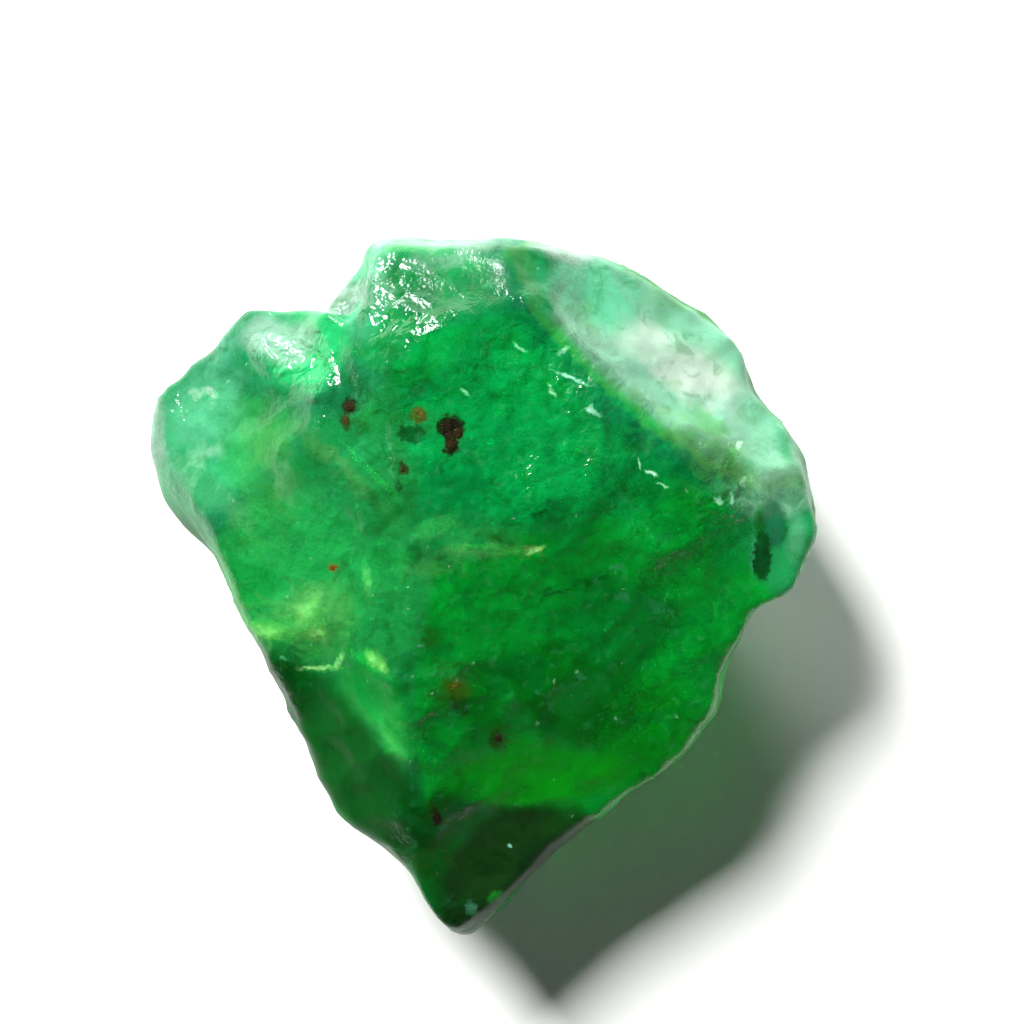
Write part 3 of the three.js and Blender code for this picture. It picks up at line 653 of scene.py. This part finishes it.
    # relief in mm: pits everywhere and lumps, deepest on the rough parts
    size, detail, roughness, depth = skin["pits"]
    pits = addNode(tree, "TexNoise", {"Vector": place, "Scale": 1 / size, "Detail": detail,
                                      "Roughness": roughness})
    size, detail, distortion = skin["lumps"]
    lumpy = addNode(tree, "TexNoise", {"Vector": place, "Scale": 1 / size, "Detail": detail,
                                       "Distortion": distortion})
    lumpDepth = addNode(tree, "MapRange", [rough, *skin["lumpDepths"]])
    relief = addNode(tree, "Math", [pits, depth], operation="MULTIPLY")
    relief = addNode(tree, "Math", [lumpy, lumpDepth, relief], operation="MULTIPLY_ADD")
    for mark, left in zip((calm, steep), skin["reliefLeft"]):
        left = addNode(tree, "MapRange", [mark, 0.0, 1.0, 1.0, left])
        relief = addNode(tree, "Math", [relief, left], operation="MULTIPLY")
    bump = addNode(tree, "Bump", {"Height": relief, "Distance": mm})

    glossy, matt = skin["roughness"]
    wet = addNode(tree, "Math", [rough, dull], operation="SUBTRACT")
    coatWeight, coatRoughness = skin["coat"]
    inClear, inMilk, onSteep = skin["seeThrough"]
    seeThrough = addNode(tree, "MapRange", [milk, 0.0, 1.0, inClear, inMilk])
    lessSo = addNode(tree, "MapRange", [steep, 0.0, 1.0, 1.0, onSteep])
    seeThrough = addNode(tree, "Math", [seeThrough, lessSo], operation="MULTIPLY")
    leftOpen = addNode(tree, "Math", [1.0, closed], operation="SUBTRACT")
    surface = addNode(tree, "BsdfPrincipled", {
        "Base Color": colour, "Roughness": addNode(tree, "MapRange", [dull, 0.0, 1.0, glossy, matt]),
        "IOR": skin["ior"], "Specular IOR Level": skin["specular"],
        "Transmission Weight": addNode(tree, "Math", [seeThrough, leftOpen], operation="MULTIPLY"),
        "Coat Weight": addNode(tree, "MapRange", [wet, skin["coatStart"], 1.0, 0.0, coatWeight]),
        "Coat Roughness": coatRoughness, "Coat IOR": skin["ior"], "Normal": bump, "Coat Normal": bump})
    hexColour, density = skin["absorbed"]
    body = addNode(tree, "VolumeAbsorption", {"Color": linear(hexColour), "Density": density})
    addNode(tree, "OutputMaterial", {"Surface": surface, "Volume": body})
    return material


directions, quads = cubeSphere(lump["squaresPerEdge"])
stonePoints = surfaceAlong(directions)
stone = makePiece("fluorite_lump", stonePoints, quads, stoneMaterial())
tints, marks, calm = coloursOf(stonePoints)
upright = np.zeros(len(stonePoints) * 3)
stone.data.vertices.foreach_get("normal", upright)
steep = smoothRamp(upright.reshape(-1, 3)[:, 2], *skin["steep"])
for name, values in {"tint": tints, "marks": marks, "calm": calm, "steep": steep}.items():
    giveValues(stone, name, values)
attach(stone, "root")
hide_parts("fluorite")
report(f"lump: {len(quads)} squares")


specks = {
    "squares": 14,
    "flatness": 0.3,    # height for its width
    "sunk": 0.2,        # share of its height below the skin
    "ragged": [(0.9, 0.4, 41), (0.35, 0.34, 44)],   # size, depth as a share of the radius, seed
    "apart": 7.3,       # mm between the stretches of noise that two specks take, so that no two are alike
    "grain": (0.4, 5, 0.7, 0.3),         # the crust's grain: size, detail, roughness, depth
    "crustColours": [(0.15, "#090804"), (0.23, "#151106"), (0.31, "#261e0a"), (0.55, "#363410"),
                     (0.72, "#4e561c")],   # from dark and thick to golden and thin
    "roughness": 0.7,
    "specular": 0.08,
    "coat": (0.04, 0.1),                 # weight, roughness
    "list": [  # place from above, half width and length, turn in degrees, extra depth, 0 dark to 1 golden
        ((-1.75, 10.1), (0.6, 0.55), 12, 0.0, 0.0), ((-1.7, 9.1), (0.36, 0.6), 0, 0.0, 0.1),
        ((-1.2, 9.7), (0.3, 0.35), 0, 0.0, 0.15), ((-3.65, 10.85), (0.36, 0.42), 20, 0.0, 0.95),
        ((-4.2, 10.4), (0.3, 0.22), 60, 0.05, 0.8), ((-8.0, 11.35), (0.32, 0.36), 8, 0.0, 0.1),
        ((-8.2, 10.5), (0.18, 0.25), 8, 0.02, 0.6), ((-4.65, 7.5), (0.18, 0.28), 0, 0.02, 0.3),
        ((-9.16, 1.28), (0.14, 0.14), 0, 0.0, 0.7), ((-1.45, -6.1), (0.24, 0.2), 20, 0.02, 0.9),
        ((1.2, -9.5), (0.2, 0.2), 0, 0.0, 0.2), ((-2.7, -14.6), (0.24, 0.45), 10, 0.0, 0.0),
        ((3.5, 15.6), (0.14, 0.12), 0, 0.1, 0.6), ((13.0, -5.5), (0.14, 0.12), 0, 0.1, 0.3),
        ((5.4, 6.2), (0.1, 0.12), 0, 0.05, 0.5), ((-12.4, 4.0), (0.12, 0.1), 0, 0.1, 0.5)],
}


def skinHeight(x, y):  # height of the upper skin over places seen from above, by halving
    low, high = [np.full(len(x), height) for height in lump["skinHeights"]]
    for _ in range(lump["skinSteps"]):
        middle = (low + high) / 2
        within = outsideLump(np.stack([x, y, middle], 1)) < 0
        low, high = np.where(within, middle, low), np.where(within, high, middle)
    return low


def ironMaterial():
    # limonite and haematite: earthy brown crust, dark and dull, golden where it is thin
    material, tree = newMaterial("ironOxideCrust")
    place = addNode(tree, "VectorMath", [addNode(tree, "TexCoord", output="Object"), (1 / mm,) * 3],
                    operation="MULTIPLY")
    golden = addNode(tree, "Attribute", output="Fac", attribute_name="golden")
    size, detail, roughness, depth = specks["grain"]
    grain = addNode(tree, "TexNoise", {"Vector": place, "Scale": 1 / size, "Detail": detail,
                                       "Roughness": roughness})
    thinness = addNode(tree, "Math", [grain, golden], operation="ADD")
    thinness = addNode(tree, "Math", [thinness, 0.5], operation="MULTIPLY")
    colour = addNode(tree, "ValToRGB", [thinness], stops=[(stop, linear(hexColour))
                                                          for stop, hexColour in specks["crustColours"]])
    bump = addNode(tree, "Bump", {"Height": grain, "Distance": depth * mm})
    coatWeight, coatRoughness = specks["coat"]
    crust = addNode(tree, "BsdfPrincipled", {
        "Base Color": colour, "Roughness": specks["roughness"], "Specular IOR Level": specks["specular"],
        "Coat Weight": coatWeight, "Coat Roughness": coatRoughness, "Normal": bump})
    addNode(tree, "OutputMaterial", {"Surface": crust})
    return material


speckDirections, speckQuads = cubeSphere(specks["squares"])
speckPoints, speckFaces, golden = [], [], []
for number, ((x, y), (width, length), turn, sink, gold) in enumerate(specks["list"]):
    thick = specks["flatness"] * min(width, length)
    shape = speckDirections * np.array([width, length, thick])
    out = 1 + sum(depth * lumpsAt(shape + specks["apart"] * number, size * min(1, width + length), seed)
                  for size, depth, seed in specks["ragged"])
    shape = shape * out[:, None]
    turned = np.radians(turn)
    blob = np.stack([x + shape[:, 0] * np.cos(turned) - shape[:, 1] * np.sin(turned),
                     y + shape[:, 0] * np.sin(turned) + shape[:, 1] * np.cos(turned),
                     shape[:, 2]], 1)
    blob[:, 2] += skinHeight(blob[:, 0], blob[:, 1]) - specks["sunk"] * thick - sink
    speckPoints.append(blob)
    speckFaces.append(speckQuads + number * len(speckDirections))
    golden.append(np.full(len(speckDirections), gold))
golden = np.concatenate(golden)
iron = makePiece("iron_specks", np.concatenate(speckPoints), np.concatenate(speckFaces), ironMaterial())
giveValues(iron, "golden", golden)
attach(iron, "root")
report(f"specks: {len(specks['list'])}")


veils = {
    "squares": 20,
    "hues": {"yellow": "#d2f684", "green": "#8cec98", "pale": "#dcfff0", "blue": "#84e4cc",
             "dark": "#022c10"},
    "list": [  # place from above, depth below the skin, half sizes, turn in degrees, tilt, hue, strength
        ((-13.5, -2.6), 0.3, (1.4, 0.7), -12, (0.3, 0.2), "yellow", 0.95),
        ((-9.7, -5.1), 0.15, (1.5, 0.3), 4, (0.1, 0.3), "yellow", 1.0),
        ((-6.7, -4.4), 0.25, (1.2, 0.8), -42, (0.2, 0.3), "yellow", 0.95),
        ((-5.2, -9.4), 0.3, (2.0, 1.2), -48, (0.3, 0.1), "green", 0.9),
        ((-10.7, -2.3), 0.5, (2.0, 1.4), 25, (0.2, -0.3), "yellow", 0.6),
        ((-12.2, -4.7), 0.3, (0.5, 0.35), 10, (0.2, 0.2), "pale", 0.5),
        ((-2.8, 3.9), 0.35, (1.5, 0.8), 12, (0.3, 0.3), "green", 0.65),
        ((-5.4, 2.2), 0.6, (1.2, 1.6), 35, (0.3, 0.0), "green", 0.4),
        ((0.9, 2.5), 0.25, (2.6, 0.4), -4, (0.0, 0.5), "green", 0.7),
        ((3.5, 2.4), 0.15, (0.6, 0.3), 18, (0.2, 0.2), "yellow", 0.8),
        ((-12.6, 9.4), 0.6, (2.0, 1.1), 60, (0.3, 0.2), "yellow", 0.35),
        ((-17.3, 12.4), 0.3, (1.5, 0.5), -12, (0.2, 0.3), "pale", 0.6),
        ((-16.0, 7.2), 0.5, (1.6, 0.9), 40, (0.2, 0.1), "pale", 0.4),
        ((-6.9, 7.6), 0.3, (2.7, 0.25), -45, (0.0, 0.6), "yellow", 0.65),
        ((-14.4, 3.2), 0.5, (1.6, 0.6), -60, (0.2, 0.3), "green", 0.5),
        ((5.8, 8.5), 0.5, (1.0, 0.8), 30, (0.3, 0.2), "yellow", 0.3),
        ((9.4, 4.2), 0.9, (3.0, 1.6), 15, (0.2, 0.3), "blue", 0.3),
        ((2.0, 13.0), 0.8, (2.6, 1.4), 70, (0.3, 0.2), "blue", 0.3),
        ((12.0, -1.0), 0.9, (2.4, 1.4), -20, (0.2, 0.4), "blue", 0.28),
        ((-1.8, -1.4), 0.7, (1.3, 2.2), 10, (0.4, 0.2), "blue", 0.3),
        ((16.3, 8.5), 0.25, (0.9, 0.5), -50, (0.2, 0.2), "yellow", 0.6),
        ((17.0, 6.7), 0.25, (0.8, 0.4), -70, (0.2, 0.2), "yellow", 0.6),
        ((6.0, 0.2), 0.2, (2.9, 0.13), 17, (0.0, 0.8), "dark", 0.8),
        ((3.4, 4.7), 0.3, (1.9, 0.16), 14, (0.0, 0.8), "dark", 0.6),
        ((9.6, 8.6), 0.3, (0.3, 1.3), 4, (0.6, 0.0), "dark", 0.6),
        ((4.6, 9.0), 0.3, (1.6, 0.18), 24, (0.0, 0.8), "dark", 0.6),
        ((-3.6, 12.6), 0.4, (0.9, 0.6), 30, (0.2, 0.2), "dark", 0.5)],
    "rag": [(1.1, 0.27, 51), (0.45, 0.18, 52)],   # ragged edges: size, depth as a share, seed
    "edge": 0.25,                                 # share of the radius over which a veil fades out
    "film": (0.7, 4, 1.0, (0.3, 0.6), 0.35),      # patchiness: size, detail, distortion, ramp, least share
    "roughness": 0.3,
    "bend": 0.12,           # how far its rim sags, as a share of its greater half size
    "edgeHeight": 3.5,      # no veil where the skin is lower than this
}

dust = {  # tiny veils, at random
    "count": 70,
    "corner": (-8.0, -9.0),     # of the rectangle they lie in, seen from above, and its extent
    "extent": (23.2, 25.5),
    "depth": (0.12, 0.42),      # least and greatest
    "halfSize": (0.1, 0.32),
    "narrowness": 0.6,      # width for its length
    "tilt": (0.2, 0.2),
    "paleShare": 0.6,       # the others are blue
    "strength": (0.35, 0.9),
    "squares": 6,
    "seed": 5,
}


def veilSheet(place, depth, half, turn, tilt, squares):
    # a level grid, turned, tilted and gently bent, then hung below the skin; fade is 1 inside and 0 at the
    # ragged edge, and the squares outside that are left out
    along, across = np.meshgrid(*[np.linspace(-1, 1, squares + 1)] * 2, indexing="ij")
    u, v = along.ravel() * half[0], across.ravel() * half[1]
    turned = np.radians(turn)
    x = place[0] + u * np.cos(turned) - v * np.sin(turned)
    y = place[1] + u * np.sin(turned) + v * np.cos(turned)
    skin = skinHeight(x, y)
    z = skin - depth - np.abs(u * tilt[0] + v * tilt[1]) - veils["bend"] * (u * u + v * v) / max(half)
    points = np.stack([x, y, z], 1)
    ragged = sum(amount * lumpsAt(points, size * min(1, max(half)), seed)
                 for size, amount, seed in veils["rag"])
    fade = smoothRamp(1 - np.hypot(along.ravel(), across.ravel()) + ragged, 0.0, veils["edge"])
    row, column = np.meshgrid(np.arange(squares), np.arange(squares), indexing="ij")
    first = (row * (squares + 1) + column).reshape(-1, 1)
    faces = first + np.array([0, squares + 1, squares + 2, 1])
    shown = (skin[faces] > veils["edgeHeight"]).all(1) & (fade[faces] > 0).any(1)
    used, renumbered = np.unique(faces[shown], return_inverse=True)
    return points[used], fade[used], renumbered.reshape(-1, 4)


def veilMaterial():
    # healed cleavage cracks: films of trapped air and dust that scatter light inside the crystal
    material, tree = newMaterial("cleavageVeil")
    place = addNode(tree, "VectorMath", [addNode(tree, "TexCoord", output="Object"), (1 / mm,) * 3],
                    operation="MULTIPLY")
    hue = addNode(tree, "Attribute", output="Color", attribute_name="hue")
    fade = addNode(tree, "Attribute", output="Fac", attribute_name="fade")
    size, detail, distortion, ramp, least = veils["film"]
    film = addNode(tree, "TexNoise", {"Vector": place, "Scale": 1 / size, "Detail": detail,
                                      "Distortion": distortion})
    patchy = addNode(tree, "MapRange", [film, *ramp, least, 1.0])
    opacity = addNode(tree, "Math", [fade, patchy], operation="MULTIPLY")
    sheet = addNode(tree, "BsdfPrincipled", {"Base Color": hue, "Roughness": veils["roughness"],
                                             "Alpha": opacity})
    addNode(tree, "OutputMaterial", {"Surface": sheet})
    return material


chance = np.random.default_rng(dust["seed"])


def randomVeil():  # the same entries as in the list of veils
    place = tuple(corner + extent * chance.random() for corner, extent in zip(dust["corner"], dust["extent"]))
    depth = chance.uniform(*dust["depth"])
    half = (chance.uniform(*dust["halfSize"]), chance.uniform(*dust["halfSize"]) * dust["narrowness"])
    turn = chance.uniform(0, 180)
    hue = "pale" if chance.random() < dust["paleShare"] else "blue"
    return place, depth, half, turn, dust["tilt"], hue, chance.uniform(*dust["strength"])


tiny = [randomVeil() for _ in range(dust["count"])]
tinySkin = skinHeight(*np.array([place for place, *_ in tiny]).T)
tiny = [entry for entry, height in zip(tiny, tinySkin) if height > veils["edgeHeight"]]
allVeils = veils["list"] + tiny
sheets = [veilSheet(*entry[:5], veils["squares"] if index < len(veils["list"]) else dust["squares"])
          for index, entry in enumerate(allVeils)]
starts = np.cumsum([0] + [len(points) for points, _, _ in sheets])
sheetPoints = np.concatenate([points for points, _, _ in sheets])
sheetFaces = np.concatenate([faces + start for (_, _, faces), start in zip(sheets, starts)])
veil = makePiece("cleavage_veils", sheetPoints, sheetFaces, veilMaterial())
fades = np.concatenate([fade * entry[6] for (_, fade, _), entry in zip(sheets, allVeils)])
hues = np.concatenate([np.tile(linear(veils["hues"][entry[5]]), (len(points), 1))
                       for (points, _, _), entry in zip(sheets, allVeils)])
giveValues(veil, "fade", fades)
giveValues(veil, "hue", hues)
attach(veil, "root")
report(f"veils: {len(sheets)}")


board = {"size": 3.0, "colour": "#f4f4f1", "roughness": 0.9, "specular": 0.2}   # size in metres


def boardMaterial():
    # matt painted board: pale, with no shine to compete with the crystal's
    material, tree = newMaterial("mattWhiteBoard")
    paper = addNode(tree, "BsdfPrincipled", {"Base Color": linear(board["colour"]),
                                             "Roughness": board["roughness"],
                                             "Specular IOR Level": board["specular"]})
    addNode(tree, "OutputMaterial", {"Surface": paper})
    return material


floorMesh = bpy.data.meshes.new("floor")
reach = board["size"] / 2
floorCorners = [(-reach, -reach, 0), (reach, -reach, 0), (reach, reach, 0), (-reach, reach, 0)]
floorMesh.from_pydata(floorCorners, [], [(0, 1, 2, 3)])
floorMesh.materials.append(boardMaterial())
floor = bpy.data.objects.new("floor", floorMesh)
bpy.context.scene.collection.objects.link(floor)

# a light tent with a low bright rim, open and dark above the lens, so that the upper faces stay deep in
# colour: sine of the height angle, light
tentGlow = [(0.0, 0.95), (0.07, 0.8), (0.18, 0.25), (0.4, 0.09), (0.9, 0.03)]
world = bpy.data.worlds.new("studio")
bpy.context.scene.world = world
world.use_nodes = True
tent = world.node_tree
tent.nodes.clear()
rise = addNode(tent, "SeparateXYZ", [addNode(tent, "TexCoord", output="Generated")], output="Z")
glow = addNode(tent, "ValToRGB", [rise], stops=[(sine, (light, light, light, 1)) for sine, light in tentGlow])
addNode(tent, "OutputWorld", {"Surface": addNode(tent, "Background", [glow, 1.0])})

lights = {  # place, aim, size, all in metres, then watts
    "window": ((-0.64, 1.68, 0.52), (0, 0, 0.012), (0.4, 0.56), 24),
    "key": ((-0.76, 1.12, 1.52), (0, 0, 0.012), (0.56, 0.72), 95),
}


def addLight(name, place, aim, size, watts):
    data = bpy.data.lights.new(name, "AREA")
    data.shape = "RECTANGLE"
    data.size, data.size_y = size
    data.energy = watts
    light = bpy.data.objects.new(name, data)
    light.location = place
    light.rotation_euler = (Vector(place) - Vector(aim)).to_track_quat("Z", "Y").to_euler()
    bpy.context.scene.collection.objects.link(light)


for name, (place, aim, size, watts) in lights.items():
    addLight(name, place, aim, size, watts)
report("floor and lights")

view = {
    "middle": (2.1, 4.8),   # what the camera looks straight down on
    "height": 230.0,        # over the drawing frame's origin
    "frame": 66.9,          # width in view at that distance
    "sensor": 36.0,         # its width, which with the frame gives the lens
    "nearest": 10.0,        # nothing nearer than this shows
}
camera = bpy.data.objects.new("camera", bpy.data.cameras.new("camera"))
camera.location = (np.array([*view["middle"], view["height"]]) + drawingOrigin) * mm
camera.data.sensor_width = view["sensor"]
camera.data.lens = view["sensor"] * view["height"] / view["frame"]
camera.data.clip_start = view["nearest"] * mm
bpy.context.scene.collection.objects.link(camera)
bpy.context.scene.camera = camera
bpy.context.scene.view_settings.view_transform = "Standard"

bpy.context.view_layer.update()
report("ready")
